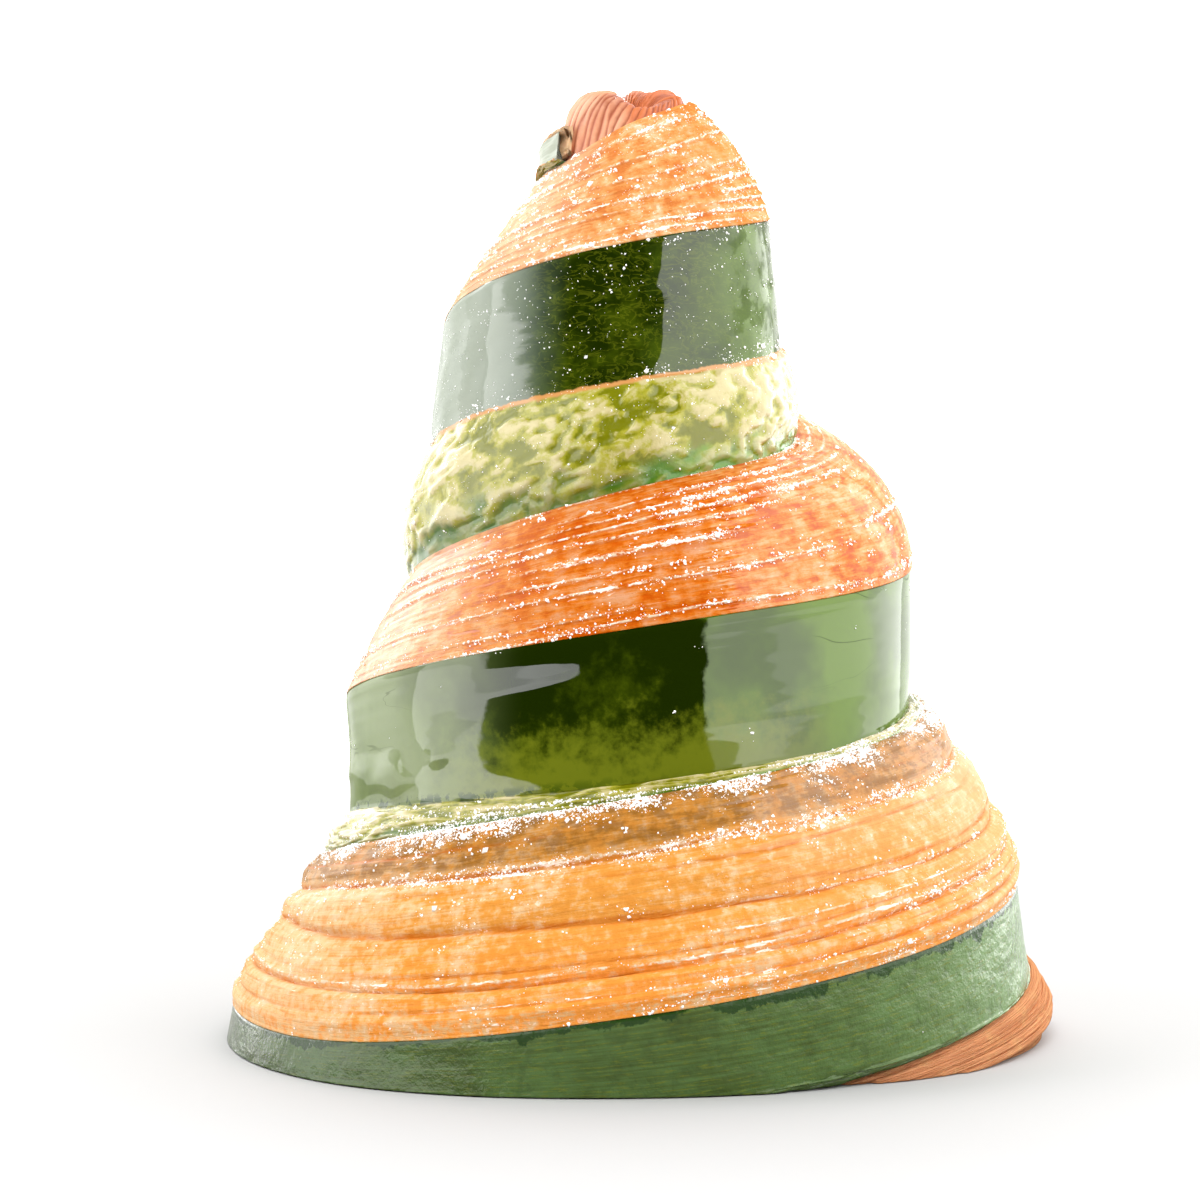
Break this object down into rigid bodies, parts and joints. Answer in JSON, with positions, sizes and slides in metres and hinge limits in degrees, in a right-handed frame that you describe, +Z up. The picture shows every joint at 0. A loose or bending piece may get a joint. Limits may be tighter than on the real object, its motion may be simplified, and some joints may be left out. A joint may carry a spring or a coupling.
{
  "type": "christmas tree pastry",
  "caption": "Fir-tree-shaped viennoiserie: a strip of laminated croissant dough with a glossy green face, wound down a cone from a curled tip to a flat foot.",
  "frame": {"origin": "middle of the pastry's box, on the surface that it stands on", "axes": "+Z up through the tip, -Y towards the side that the picture shows, +X to its right"},
  "size_m": [0.0992, 0.0974, 0.1132],
  "materials": {
    "baked_crust": "baked golden-orange laminated crust, satin, dusted with icing sugar",
    "green_glaze": "green dough under a glossy clear glaze"
  },
  "bodies": {
    "root": {"plain_dough": "baked_crust", "green_dough": "green_glaze"}
  },
  "joints": []
}
